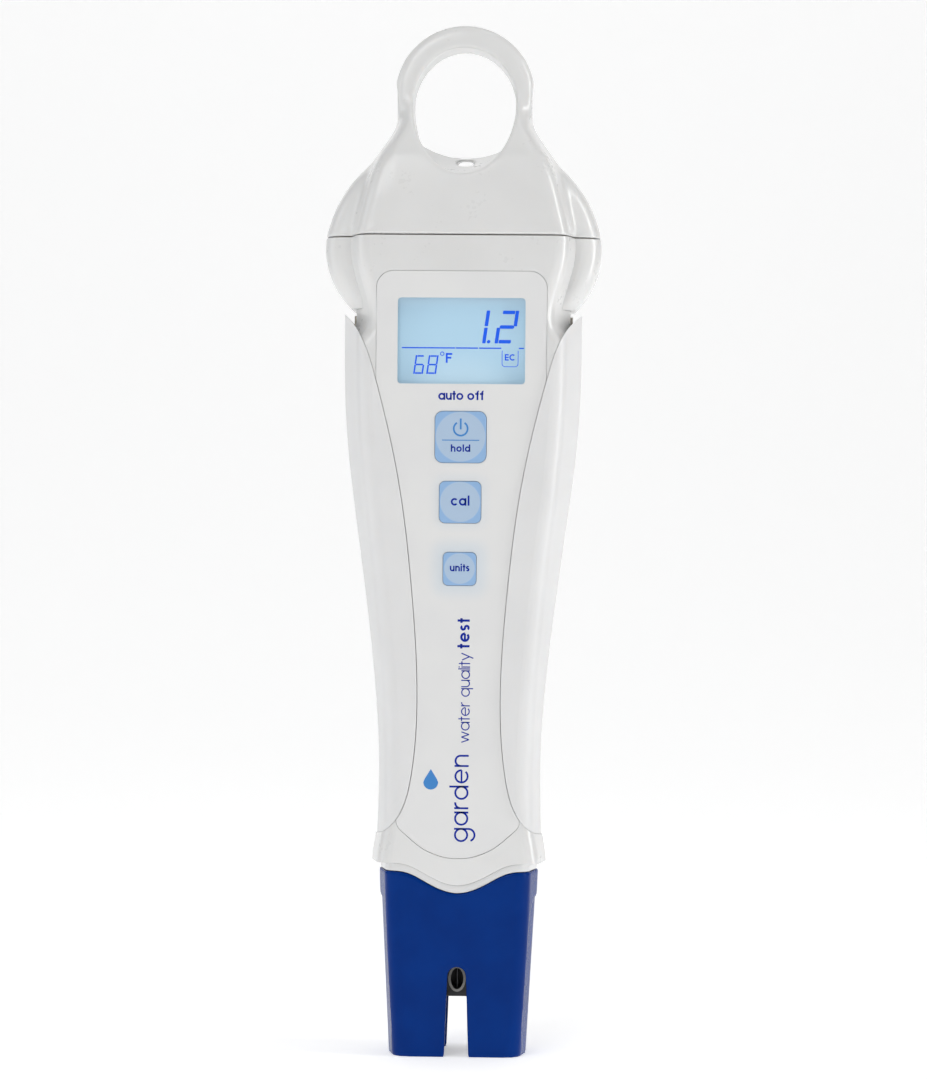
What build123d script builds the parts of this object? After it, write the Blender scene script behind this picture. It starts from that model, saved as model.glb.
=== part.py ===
"""Conductivity test pen: a white body with a hang ring, display and keys, and a blue probe shroud.

The pen stands upright on its shroud. +Z runs from the probe end to the hang ring, the display faces
-Y and +X is to the right of the display. The origin is at the middle of the shroud's foot.
All lengths are in millimetres.
"""
import math
import os

from build123d import *

# ---- driving dimensions -------------------------------------------------------------------------

WALL = 2.2                      # housing and cap wall
INLAY_GAP = 0.06                # fine gap round the grips and the front panel
KEY_GAP = 0.08                  # and round each key
FIT_GAP = 0.12                  # between parts that are assembled or that slide
SEAM_Z = 154.5                  # joint between body and battery cap
SEAM_GAP = 0.25
PARTING_Y = 1.5                 # joint between front and rear housing
PARTING_GAP = 0.12
CLEAR = 30.0                    # reach of a cut that goes right through the pen

FRONT_FOOT = 8.65               # front face's distance from the axis, taken down to z = 0
FRONT_SLOPE = 0.025             # and how much it gains for each millimetre of height
FRONT_RADIUS = 3.0              # rounding of the body's front corners
REAR_RADIUS = 4.5
SIDE_RADIUS = 6.0               # rounding of the ridge along each side

# z, half width, half depth, flare (how far the side ridge stands out beyond the front corner)
BODY_STATIONS = [
    (30.0, 15.3, None, 1.9),
    (46.0, 15.3, None, 1.9),
    (62.0, 15.45, None, 1.9),
    (76.0, 16.7, None, 2.3),
    (90.0, 18.5, None, 2.9),
    (105.0, 20.6, None, 3.4),
    (120.0, 22.2, None, 3.7),
    (135.0, 22.6, None, 3.8),
    (148.0, 22.6, None, 3.8),
    (159.0, 21.9, None, 3.4),
    (166.0, 19.4, 12.3, 2.6),
    (171.0, 16.6, 10.8, 2.0),
    (174.5, 14.1, 8.6, 1.7),
    (178.5, 12.9, 6.1, 1.4),
    (183.0, 12.8, 4.0, 1.2),
]
SHELL_STATIONS = [station for station in BODY_STATIONS if station[0] <= 166]
SIDE_STATIONS = [station for station in BODY_STATIONS if station[0] <= 148]

WING_FRONT = -6.5
WING_REAR = 10.5
WING_RADIUS = 4.0
# z, half width of the wings
WING_STATIONS = [(141.0, 21.2), (146.3, 24.9), (153.0, 26.2), (160.8, 24.1), (166.0, 20.6), (169.6, 16.4)]

RING_Z = 181.6                  # hang ring
RING_RADIUS = 13.4
RING_HALF_DEPTH = 4.5
RING_ROUND = 2.0
CHEEK_TOP = 183.5               # below this height the ring's sides are cut back to CHEEK_X
CHEEK_X = 12.85
HOLE_Z = 179.8
HOLE_HALF_WIDTH = 9.7
HOLE_UP = 10.8
HOLE_DOWN = 13.7
SCOOP_RADIUS = 15.2             # scooped floor of the hole, rising to the rear
SCOOP_FRONT_Z = 166.1
SCOOP_REAR_Z = 172.0
SCOOP_HALF_DEPTH = 11.0
LANYARD_WIDTH = 3.4
LANYARD_HEIGHT = 1.8
LANYARD_Z = 169.6

GRIP_PROUD = 0.3
GRIP_DEPTH = 1.0
# front edge of the right grip, from the side at the shoulder to the side at the foot
GRIP_EDGE = [
    (22.9, 140.6), (18.5, 134.8), (16.0, 127.5), (11.7, 109.1), (8.9, 87.2), (7.8, 67.4),
    (8.75, 53.4), (11.6, 44.8), (15.6, 41.6),
]
PANEL_TOP = 147.8
PANEL_HALF_WIDTH = 16.0
PANEL_CORNER = 3.2
PANEL_THICKNESS = 0.6
PANEL_SIDE_TOP = GRIP_EDGE[2]   # between these two points the panel's side follows the grip
PANEL_SIDE_FOOT = GRIP_EDGE[-2]
PANEL_FOOT = [(10.0, 42.1), (6.6, 39.35), (3.3, 37.95), (0.0, 37.55)]

DISPLAY_Z = 134.7
DISPLAY_WIDTH = 23.9
DISPLAY_HEIGHT = 16.1
DISPLAY_CORNER = 0.7

# name, height of its centre, size, corner radius
KEYS = [("power_key", 116.7, 9.6, 1.45), ("cal_key", 104.5, 7.8, 1.1), ("units_key", 92.0, 6.2, 0.95)]
KEY_PROUD = 0.12
KEY_TRAVEL = 0.5

HOUSING_EDGE = (36.6, 32.5)     # height of a wavy edge at the sides and at the middle
SHROUD_EDGE = (35.0, 30.9)
WAVE_REACH = 12.0

SHROUD_WALL = 1.8
# z, half width, half depth, flare
SHROUD_STATIONS = [
    (0.0, 13.2, 7.8, 1.5),
    (12.0, 14.0, 8.2, 1.6),
    (24.0, 14.75, 8.7, 1.8),
    (40.0, 15.35, 9.35, 1.9),
]
COLLAR_STEP = 0.25              # the collar band is this much narrower than the shroud
PLUG_STATIONS = [(21.0, 12.3, 6.5, 1.5), (46.0, 12.6, 6.9, 1.5)]
SLOT_HALF_TOP = 1.75
SLOT_HALF_FOOT = 2.3
SLOT_TOP = 17.0
# z, half width, half depth, flare of the surface that the finger recesses are sunk to
RECESS_STATIONS = [(-2.0, 13.05, 7.7, 1.5), (34.0, 14.95, 8.7, 1.9)]
RECESS_HALF_DEPTH = 6.0
RECESS_TOP = 30.0

PROBE_HALF_WIDTH = 6.0
PROBE_HALF_DEPTH = 4.6
PROBE_TIP = 11.0
PROBE_TOP = 40.0
PROBE_CORNER = 3.6
WINDOW_Z = 14.4                 # oval measuring window through the probe
WINDOW_WIDTH = 2.4
WINDOW_HEIGHT = 4.0
RIM = 0.45

CELL_RADIUS = 5.25
CELL_LENGTH = 44.5
CELL_Y = 2.0
CELL_Z = 152.0
CELL_ROOM = 47.6                # hollow for the cell and its contacts
CELL_ROOM_RADIUS = 6.2
CAP_HOLLOW_TOP = 162.5

GASKET_THICKNESS = 0.9
GASKET_TOP = 156.3
SEAM_SECTION = (22.3, 12.5, 3.6)  # half width, half depth and flare of the body at the seam
SEAM_WING = 26.1                # half width of the wings at the seam
SEAL_INSET = (1.3, 1.8)         # parting seal's two faces, below the outside
SEAL_HALF_WIDTH = 0.6
SEAL_REACH = (48.0, 140.0)
PLUG_SEAL_Z = 43.0
PLUG_SEAL_HEIGHT = 1.4
PLUG_SEAL_DEPTH = 0.7

PLUG_TOP = PLUG_STATIONS[-1][0]
PLUG_CLEARANCE = 0.05

# what lies behind the front face, as depths below it
LCD_DEPTH = 0.9
LCD_THICKNESS = 1.8
LCD_SIZE = (26.4, 19.2)
LIGHT_DEPTH = 2.9
LIGHT_THICKNESS = 1.2
FRAME_DEPTH = 0.8
FRAME_THICKNESS = 3.8
FRAME_SIZE = (28.4, 21.4)
BOARD_DEPTH = 6.8
BOARD_THICKNESS = 1.2
BOARD_SIZE = (22.0, 90.0)
BOARD_Z = 97.0
DOME_RADIUS = 2.8
DOME_HEIGHT = 0.5
SCREW_SPOTS = [(-8.6, 56.5), (8.6, 56.5), (-8.6, 120.0), (8.6, 120.0)]

# plane of the front face: x to the right, y up the face, z out of it
FRONT = Plane(origin=(0, -FRONT_FOOT, 0), x_dir=(1, 0, 0), z_dir=(0, -1, -FRONT_SLOPE))


# ---- shared helpers -----------------------------------------------------------------------------

def half_depth_at(z):
    """Distance of the flat front face from the axis at height z."""
    return FRONT_FOOT + FRONT_SLOPE * z


def section(z, half_width, half_depth, flare, offset=0.0):
    """Six-sided rounded cross-section, widest at its side ridges."""
    depth = (half_depth or half_depth_at(z)) + offset
    width = half_width + offset
    corner = width - flare
    front = max(FRONT_RADIUS + offset, 0.6)
    rear = max(min(REAR_RADIUS, depth * 0.6) + offset, 0.6)
    side = min(SIDE_RADIUS, depth)
    outline = FilletPolyline(
        (corner, -depth), (width, 0), (corner, depth), (-corner, depth), (-width, 0), (-corner, -depth),
        radius=[front, side, rear, rear, side, front],
        close=True,
    )
    return Pos(0, 0, z) * make_face(outline)


def form(stations, offset=0.0):
    """Smooth solid through a list of stations."""
    return loft([section(*station, offset=offset) for station in stations])


def front_view(outline, y_low, y_high):
    """Solid from a closed outline drawn in the front view (x, z), between two depths."""
    face = make_face(outline)
    return Pos(0, y_high, 0) * extrude(Rot(90, 0, 0) * face, amount=y_high - y_low)


def front_plate(face, top, depth):
    """Plate whose outer face is `top` above the pen's front face."""
    return extrude(FRONT * Pos(0, 0, top - depth) * face, amount=depth)


def mirrored(points):
    """The same points on the left, in reverse order."""
    return [(-x, z) for x, z in reversed(points)]


def block(x_size, y_low, y_high, z_low, z_high, x=0.0):
    """Box between given depths and heights."""
    box = Box(x_size, y_high - y_low, z_high - z_low)
    return Pos(x, (y_low + y_high) / 2, (z_low + z_high) / 2) * box


def above_wave(edge, top):
    """Everything between a wavy edge and a flat top, right through the pen."""
    sides, middle = edge
    between = (sides + middle) / 2
    half = WAVE_REACH / 2
    wave = Spline(
        (-WAVE_REACH, sides), (-half, between), (0, middle), (half, between), (WAVE_REACH, sides),
        tangents=[(1, 0), (1, 0)],
    )
    right = [(WAVE_REACH, sides), (CLEAR, sides), (CLEAR, top)]
    return front_view(wave + Polyline(*right, *mirrored(right)), -CLEAR, CLEAR)


# ---- outer form of body and cap -----------------------------------------------------------------

def wing_section(half_width, gap=0.0):
    """Rounded oblong across the pen, cut level through both wings."""
    depth = WING_REAR - WING_FRONT
    return Pos(0, CELL_Y) * RectangleRounded(2 * (half_width + gap), depth + 2 * gap, WING_RADIUS + gap)


def wings():
    """Cross bar that ends in the two rounded wings."""
    return loft([Pos(0, 0, z) * wing_section(half_width) for z, half_width in WING_STATIONS])


def hang_hole():
    """Egg-shaped hole with a scooped floor."""
    upper = EllipticalCenterArc((0, HOLE_Z), HOLE_HALF_WIDTH, HOLE_UP, start_angle=0, arc_size=180)
    lower = EllipticalCenterArc((0, HOLE_Z), HOLE_HALF_WIDTH, HOLE_DOWN, start_angle=180, arc_size=180)
    egg = front_view(upper + lower, -CLEAR, CLEAR)
    rise = (SCOOP_REAR_Z - SCOOP_FRONT_Z) / (2 * SCOOP_HALF_DEPTH)
    middle_z = (SCOOP_REAR_Z + SCOOP_FRONT_Z) / 2 + SCOOP_RADIUS
    tilt = math.degrees(math.atan(rise))
    scoop = Pos(0, 0, middle_z) * Rot(tilt, 0, 0) * Rot(90, 0, 0) * Cylinder(SCOOP_RADIUS, 80)
    return egg & scoop


def ring():
    """Hang ring with rounded edges."""
    disc = Pos(0, 0, RING_Z) * Rot(90, 0, 0) * Cylinder(RING_RADIUS, 2 * RING_HALF_DEPTH)
    disc = fillet(disc.edges().filter_by(GeomType.CIRCLE), RING_ROUND)
    cheek = block(CLEAR, -CLEAR, CLEAR, RING_Z - RING_RADIUS, CHEEK_TOP, x=CHEEK_X + CLEAR / 2)
    return disc - cheek - mirror(cheek, Plane.YZ)


def cell_room(radius, low, high):
    """Round-topped hollow across the wings for the cell, straight up from its middle."""
    across = Pos(0, CELL_Y, CELL_Z) * Rot(0, 90, 0) * Cylinder(radius, CELL_ROOM)
    above = block(CELL_ROOM, CELL_Y - radius, CELL_Y + radius, CELL_Z, SEAM_Z)
    return (across + above) & block(80, -20, 20, low, high)


# ---- covers -------------------------------------------------------------------------------------

def battery_cap(outer, inner):
    """White top with the hang ring, a hollow for the cell and a lanyard slot."""
    shell = (outer & block(80, -40, 40, SEAM_Z + SEAM_GAP / 2, 220)) + ring()
    shell -= hang_hole()
    shell -= inner & block(80, -40, 40, SEAM_Z, CAP_HOLLOW_TOP)
    shell -= cell_room(CELL_ROOM_RADIUS, SEAM_Z, 200)
    slot = Rot(90, 0, 0) * extrude(SlotOverall(LANYARD_WIDTH, LANYARD_HEIGHT), amount=60, both=True)
    shell -= Pos(0, 0, LANYARD_Z) * slot
    return shell - gasket_band(FIT_GAP)


def gasket_band(gap=0.0):
    """Square-section loop inside the seam, round the body and out round both wings."""
    outline = section(0, *SEAM_SECTION) + wing_section(SEAM_WING)
    outer = offset(outline, amount=GASKET_THICKNESS - WALL + gap)
    inner = offset(outline, amount=-WALL - gap)
    low = 2 * SEAM_Z - GASKET_TOP - gap
    return Pos(0, 0, low) * extrude(outer - inner, amount=GASKET_TOP + gap - low)


def grip_edge(shift=0.0):
    """Front edge of the right grip, moved outwards by `shift`."""
    return Spline(*[(x + shift, z) for x, z in GRIP_EDGE])


def grip_region(gap=0.0):
    """Solid right through the pen behind the right grip's outline."""
    edge = grip_edge(gap)
    outside = Polyline(edge @ 1, (CLEAR, GRIP_EDGE[-1][1]), (CLEAR, GRIP_EDGE[0][1]), edge @ 0)
    return front_view(edge + outside, -CLEAR, CLEAR)


def panel_outline(gap=0.0):
    """Outline of the front panel: square shoulders, a waist between the grips and a round foot."""
    edge = grip_edge(-gap)
    ends = [edge.param_at_point(Vector(x - gap, z)) for x, z in (PANEL_SIDE_TOP, PANEL_SIDE_FOOT)]
    side = edge.trim(*ends)
    foot_points = [(max(x - gap, 0), z + gap) for x, z in PANEL_FOOT]
    foot = Spline(side @ 1, *foot_points, tangents=[(0.1, -1), (-1, 0)])
    top_corner = (PANEL_HALF_WIDTH - gap, PANEL_TOP - gap)
    shoulder = FilletPolyline((0, PANEL_TOP - gap), top_corner, side @ 0, radius=PANEL_CORNER)
    right = [edge for line in (shoulder, side, foot) for edge in line.edges()]
    left = [mirror(edge, Plane.YZ) for edge in right]
    return make_face(right + left)


def at_face(x, z, shape):
    """A flat shape drawn on the front face, centred at x and height z."""
    return Pos(x, z) * shape


def key_shape(z, size, radius, gap=0.0):
    return at_face(0, z, RectangleRounded(size + 2 * gap, size + 2 * gap, radius + gap))


def display_shape(gap=0.0):
    shape = RectangleRounded(DISPLAY_WIDTH + 2 * gap, DISPLAY_HEIGHT + 2 * gap, DISPLAY_CORNER + gap)
    return at_face(0, DISPLAY_Z, shape)


def key_openings(gap=0.0):
    openings = Sketch()
    for _, z, size, radius in KEYS:
        openings += key_shape(z, size, radius, gap)
    return openings


def plug(gap=0.0):
    """Oval plug that joins the body and the shroud."""
    return form(PLUG_STATIONS, offset=gap)


def housing(outer, inner, middle):
    """Whole white body, before it is split into front and rear."""
    body = outer & above_wave(HOUSING_EDGE, SEAM_Z - SEAM_GAP / 2)
    body -= inner & block(80, -40, 40, PLUG_TOP, SEAM_Z)
    body -= cell_room(CELL_ROOM_RADIUS, 100, SEAM_Z)
    body -= plug(PLUG_CLEARANCE)
    body -= gasket_band(FIT_GAP)
    right = grip_region()
    body -= (right + mirror(right, Plane.YZ)) - middle
    body -= front_plate(panel_outline(), 5, 5 + PANEL_THICKNESS + INLAY_GAP)
    body -= front_plate(key_openings(KEY_GAP), 5, 10)
    frame_room = [side + 2 * FIT_GAP for side in FRAME_SIZE]
    return body - front_plate(at_face(0, DISPLAY_Z, RectangleRounded(*frame_room, 1.2)), 0, 8)


def screw_bosses(middle):
    """Posts on the rear wall that carry the circuit board."""
    posts = Sketch()
    for x, z in SCREW_SPOTS:
        posts += at_face(x, z, Circle(2.6) - Circle(1.0))
    return front_plate(posts, -BOARD_DEPTH - BOARD_THICKNESS, 30) & middle


def seal_band(gap=0.0):
    """Flat loop in the parting joint, between the grips' pockets and the inner wall."""
    outer, inner = SEAL_INSET
    band = form(SIDE_STATIONS, offset=gap - outer) - form(SIDE_STATIONS, offset=-inner - gap)
    low, high = SEAL_REACH
    half = SEAL_HALF_WIDTH + gap
    return band & block(80, PARTING_Y - half, PARTING_Y + half, low - gap, high + gap)


# ---- keys and display ---------------------------------------------------------------------------

def key(z, size, radius):
    """Keytop with a retaining flange behind the wall and a plunger over its snap dome."""
    top = front_plate(key_shape(z, size, radius), KEY_PROUD, KEY_PROUD + WALL + 0.15)
    flange = front_plate(key_shape(z, size, radius, 0.8), -WALL - 0.15, 0.7)
    reach = BOARD_DEPTH - DOME_HEIGHT - KEY_TRAVEL - 0.05
    plunger = front_plate(at_face(0, z, Circle(1.6)), -WALL - 0.8, reach - WALL - 0.8)
    return top + flange + plunger


def display_frame():
    """Carrier that holds the display and its light guide."""
    outer = at_face(0, DISPLAY_Z, RectangleRounded(*FRAME_SIZE, 1.1))
    room = at_face(0, DISPLAY_Z, Rectangle(LCD_SIZE[0] + 0.2, LCD_SIZE[1] + 0.2))
    return front_plate(outer - room, -FRAME_DEPTH, FRAME_THICKNESS)


def contact_strips():
    """Rubber connectors between the display's edges and the board."""
    strips = Sketch()
    for z in (DISPLAY_Z - 9.0, DISPLAY_Z + 9.0):
        strips += at_face(0, z, Rectangle(20, 0.9))
    low = LCD_DEPTH + LCD_THICKNESS + 0.02
    return front_plate(strips, -low, BOARD_DEPTH - low)


def backlight_plate():
    shape = at_face(0, DISPLAY_Z, Rectangle(26.0, 16.4))
    return front_plate(shape, -LIGHT_DEPTH, LIGHT_THICKNESS)


def backlight_leds():
    lamps = Sketch()
    for x in (-8, 0, 8):
        lamps += at_face(x, DISPLAY_Z, Rectangle(2.0, 1.6))
    return front_plate(lamps, -BOARD_DEPTH + 1.2, 1.2)


# ---- electronics --------------------------------------------------------------------------------

def circuit_board():
    shape = at_face(0, BOARD_Z, RectangleRounded(*BOARD_SIZE, 1.5))
    for x, z in SCREW_SPOTS:
        shape -= at_face(x, z, Circle(1.2))
    return front_plate(shape, -BOARD_DEPTH, BOARD_THICKNESS)


def control_chips():
    """Processor, amplifier, memory and crystal on the back of the board."""
    rear = -BOARD_DEPTH - BOARD_THICKNESS
    chips = front_plate(at_face(0, 98, Rectangle(9, 9)), rear, 1.2)
    chips += front_plate(at_face(-4, 80, Rectangle(5, 4)), rear, 1.4)
    chips += front_plate(at_face(5, 79, Rectangle(4, 3)), rear, 1.0)
    return chips + front_plate(at_face(5, 110, SlotOverall(8, 3)), rear, 2.6)


def dome_switches():
    """One snap dome on the board under each key."""
    ball_radius = (DOME_RADIUS ** 2 + DOME_HEIGHT ** 2) / (2 * DOME_HEIGHT)
    domes = []
    for _, z, _, _ in KEYS:
        disc = front_plate(at_face(0, z, Circle(DOME_RADIUS)), -BOARD_DEPTH + DOME_HEIGHT, DOME_HEIGHT)
        ball = FRONT * Pos(0, z, DOME_HEIGHT - BOARD_DEPTH - ball_radius) * Sphere(ball_radius)
        domes.append(disc & ball)
    return Compound(children=domes)


def board_screws():
    screws = []
    for x, z in SCREW_SPOTS:
        head = front_plate(at_face(x, z, Circle(1.9) - RegularPolygon(0.8, 6)), 1.3 - BOARD_DEPTH, 0.8)
        neck = front_plate(at_face(x, z, Circle(1.9)), 0.5 - BOARD_DEPTH, 0.5)
        shank = front_plate(at_face(x, z, Circle(0.95)), -BOARD_DEPTH, 7.0)
        screws.append(head + neck + shank)
    return Compound(children=screws)


# ---- battery ------------------------------------------------------------------------------------

def battery_cell():
    """Cell lying across the wings, its positive end to the right."""
    can = Cylinder(CELL_RADIUS, CELL_LENGTH - 1.0)
    can = fillet(can.edges().filter_by(GeomType.CIRCLE), 0.5)
    nub = Pos(0, 0, CELL_LENGTH / 2) * Cylinder(1.9, 1.2)
    return Pos(-0.5, CELL_Y, CELL_Z) * Rot(0, 90, 0) * (can + nub)


def battery_tray():
    """Half-round cradle under the cell."""
    trough = Cylinder(CELL_ROOM_RADIUS - 0.05, 40) - Cylinder(CELL_RADIUS + 0.1, 41)
    trough = Pos(0, CELL_Y, CELL_Z) * Rot(0, 90, 0) * trough
    return trough & block(60, -20, 20, 140, CELL_Z - 0.5)


def contact_plate(x):
    plate = Box(0.3, 9.0, 9.0)
    return Pos(x, CELL_Y, CELL_Z) * fillet(plate.edges().filter_by(Axis.X), 1.5)


def spring_contact():
    """Plate with a conical spring that presses on the cell's flat end."""
    coil = contact_plate(-23.6)
    for x, radius in ((-23.35, 3.4), (-23.0, 2.6)):
        coil += Pos(x, CELL_Y, CELL_Z) * Rot(0, 90, 0) * Torus(radius, 0.2)
    tip = Pos(-22.95, CELL_Y, CELL_Z) * Rot(0, 90, 0) * Cylinder(1.2, 0.4)
    stalk = Pos(-23.3, CELL_Y, CELL_Z) * Rot(0, 90, 0) * Cylinder(0.8, 0.6)
    return coil + tip + stalk + Pos(-23.2, CELL_Y, CELL_Z) * Box(0.3, 6.8, 0.4)


def plate_contact():
    dimple = Pos(23.2, CELL_Y, CELL_Z) * Rot(0, 90, 0) * Cylinder(1.6, 0.6)
    return contact_plate(23.6) + dimple


# ---- probe and shroud ---------------------------------------------------------------------------

def lowered(edge, drop):
    return (edge[0] - drop, edge[1] - drop)


def seal_ring(gap=0.0):
    """Rubber loop round the plug, inside the body."""
    _, *shape = PLUG_STATIONS[-1]
    loop = section(0, *shape) - section(0, *shape, offset=-PLUG_SEAL_DEPTH - gap)
    return Pos(0, 0, PLUG_SEAL_Z - gap) * extrude(loop, amount=PLUG_SEAL_HEIGHT + 2 * gap)


def probe_collar():
    """White wavy band between body and shroud, one piece with the plug."""
    band = form(SHROUD_STATIONS, offset=-COLLAR_STEP)
    band &= above_wave((SHROUD_EDGE[0] + FIT_GAP, SHROUD_EDGE[1] + FIT_GAP), 60)
    band -= above_wave(lowered(HOUSING_EDGE, FIT_GAP), 70)
    bore = RectangleRounded(2 * PROBE_HALF_WIDTH + 0.1, 2 * PROBE_HALF_DEPTH + 0.1, PROBE_CORNER)
    return band + plug() - seal_ring(0.05) - extrude(bore, amount=80)


def oval(width, height):
    """Upright oval drawn in the front view at the measuring window."""
    return Pos(0, 0, WINDOW_Z) * Rot(90, 0, 0) * Ellipse(width / 2, height / 2)


def probe_rim():
    """Light oval rings round both ends of the measuring window."""
    shape = oval(WINDOW_WIDTH + 2 * RIM, WINDOW_HEIGHT + 2 * RIM) - oval(WINDOW_WIDTH, WINDOW_HEIGHT)
    front = Pos(0, -3.6, 0) * extrude(shape, amount=1.15)
    return Compound(children=[front, mirror(front, Plane.XZ)])


def electrode_pins(radius=0.32):
    pin = Pos(0, -2.4, WINDOW_Z) * Cylinder(radius, WINDOW_HEIGHT + 1.6)
    return Compound(children=[pin, mirror(pin, Plane.XZ)])


def sensor(radius=0.9, length=6.0):
    return Pos(2.8, 0, 22) * Cylinder(radius, length)


def probe_body():
    """Dark stem with an oval window right through it."""
    shape = RectangleRounded(2 * PROBE_HALF_WIDTH, 2 * PROBE_HALF_DEPTH, PROBE_CORNER)
    stem = Pos(0, 0, PROBE_TIP) * extrude(shape, amount=PROBE_TOP - PROBE_TIP)
    stem = fillet(stem.faces().sort_by(Axis.Z)[0].edges(), 0.8)
    stem -= extrude(oval(WINDOW_WIDTH, WINDOW_HEIGHT), amount=30, both=True)
    seat = oval(WINDOW_WIDTH + 2 * RIM, WINDOW_HEIGHT + 2 * RIM)
    for side in (-1, 1):
        stem -= Pos(0, side * 13.55, 0) * extrude(seat, amount=10, both=True)
    for pin in electrode_pins(0.34).children:
        stem -= pin
    return stem - sensor(0.92, 6.1)


def probe_leads():
    """Four insulated leads from the probe up to the back of the board."""
    leads = [Pos(x, -1.3, 47.6) * Cylinder(0.4, 15) for x in (-3, -1, 1, 3)]
    return Compound(children=leads)


def shroud():
    """Blue open-ended guard with a slot front and rear and a finger recess on each side."""
    outer = form(SHROUD_STATIONS) - form(SHROUD_STATIONS, offset=-SHROUD_WALL)
    outer -= above_wave(SHROUD_EDGE, 80)
    arch = SLOT_TOP - SLOT_HALF_TOP
    right = [(SLOT_HALF_FOOT, -1), (SLOT_HALF_TOP, arch)]
    slot = Polyline(*mirrored(right), *right)
    slot += ThreePointArc((SLOT_HALF_TOP, arch), (0, SLOT_TOP), (-SLOT_HALF_TOP, arch))
    outer -= front_view(slot, -CLEAR, CLEAR)
    recess = Pos(0, 0, RECESS_TOP / 2) * Rot(0, 90, 0) * extrude(
        SlotOverall(RECESS_TOP, 2 * RECESS_HALF_DEPTH), amount=30, both=True
    )
    return outer - (recess - form(RECESS_STATIONS))


# ---- assembly -----------------------------------------------------------------------------------

def main():
    os.makedirs("parts", exist_ok=True)
    inner = form(SHELL_STATIONS, offset=-WALL)
    middle = form(SHELL_STATIONS, offset=-GRIP_DEPTH)
    outer = form(BODY_STATIONS) + wings()
    body = housing(outer, inner, middle) - seal_band(0.05)
    front = body & block(80, -40, PARTING_Y - PARTING_GAP / 2, -10, 200)
    rear = body & block(80, PARTING_Y + PARTING_GAP / 2, 40, -10, 200)
    right_grip = (form(SHELL_STATIONS, offset=GRIP_PROUD) - middle) & grip_region(INLAY_GAP)
    panel = panel_outline(INLAY_GAP) - display_shape() - key_openings(KEY_GAP)

    nodes = {
        "front_housing": front,
        "rear_housing": rear + (screw_bosses(middle) - front),
        "right_grip": right_grip,
        "left_grip": mirror(right_grip, Plane.YZ),
        "front_label": front_plate(panel, 0, PANEL_THICKNESS),
        "display_window": front_plate(display_shape(-0.03), -0.03, PANEL_THICKNESS),
        "lcd_glass": front_plate(at_face(0, DISPLAY_Z, Rectangle(*LCD_SIZE)), -LCD_DEPTH, LCD_THICKNESS),
        "display_frame": display_frame(),
        "backlight_plate": backlight_plate(),
        "backlight_leds": backlight_leds(),
        "contact_strips": contact_strips(),
        "circuit_board": circuit_board(),
        "control_chips": control_chips(),
        "dome_switches": dome_switches(),
        "board_screws": board_screws(),
        "battery_cell": battery_cell(),
        "battery_tray": battery_tray(),
        "spring_contact": spring_contact(),
        "plate_contact": plate_contact(),
        "cap_gasket": gasket_band(),
        "housing_seal": seal_band(),
        "battery_cap": battery_cap(outer, inner),
        "probe_collar": probe_collar(),
        "probe_seal": seal_ring(),
        "probe_body": probe_body(),
        "probe_rim": probe_rim(),
        "electrode_pins": electrode_pins(),
        "temperature_sensor": sensor(),
        "probe_leads": probe_leads(),
        "shroud": shroud(),
    }
    for name, z, size, radius in KEYS:
        nodes[name] = key(z, size, radius)
    for name, solid in nodes.items():
        export_step(solid, f"parts/{name}.step")


if __name__ == "__main__":
    main()
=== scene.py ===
import math

import bpy
from mathutils import Matrix, Vector


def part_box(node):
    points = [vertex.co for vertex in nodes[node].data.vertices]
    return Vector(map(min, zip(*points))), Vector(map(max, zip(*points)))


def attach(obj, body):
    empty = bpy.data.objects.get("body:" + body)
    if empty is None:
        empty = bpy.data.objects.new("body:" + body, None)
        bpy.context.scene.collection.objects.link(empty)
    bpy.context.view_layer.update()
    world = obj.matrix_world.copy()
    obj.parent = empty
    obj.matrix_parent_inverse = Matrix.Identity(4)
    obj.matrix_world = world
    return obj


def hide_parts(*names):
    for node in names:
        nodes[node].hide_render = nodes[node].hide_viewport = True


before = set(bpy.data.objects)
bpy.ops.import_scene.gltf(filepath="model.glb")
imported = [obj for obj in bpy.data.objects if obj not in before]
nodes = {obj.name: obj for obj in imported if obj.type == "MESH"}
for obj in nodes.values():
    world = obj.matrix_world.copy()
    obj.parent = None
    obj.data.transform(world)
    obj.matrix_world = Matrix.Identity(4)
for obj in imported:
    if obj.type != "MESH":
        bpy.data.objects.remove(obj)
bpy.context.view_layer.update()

MM = 0.001

# ---- places on the pen ---------------------------------------------------------------------------
FRONT_SLOPE = 0.025                       # the front face leans this much forward for its height
low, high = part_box("front_label")
LABEL_TOP = high.z
low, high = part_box("display_window")
DISPLAY_Z = (low.z + high.z) / 2
DISPLAY_HALF = (high.x, (high.z - low.z) / 2)


def key_place(node):
    """Height of a key's middle, and half its visible width."""
    lowest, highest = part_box(node)
    return (lowest.z + highest.z) / 2, highest.x - 0.8 * MM


LABEL_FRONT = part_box("front_label")[0].y   # the front-most point of the label, at its top


def face_y(z):
    """Depth of the label's outer face at height z."""
    return LABEL_FRONT + (LABEL_TOP - z) * FRONT_SLOPE


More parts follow.
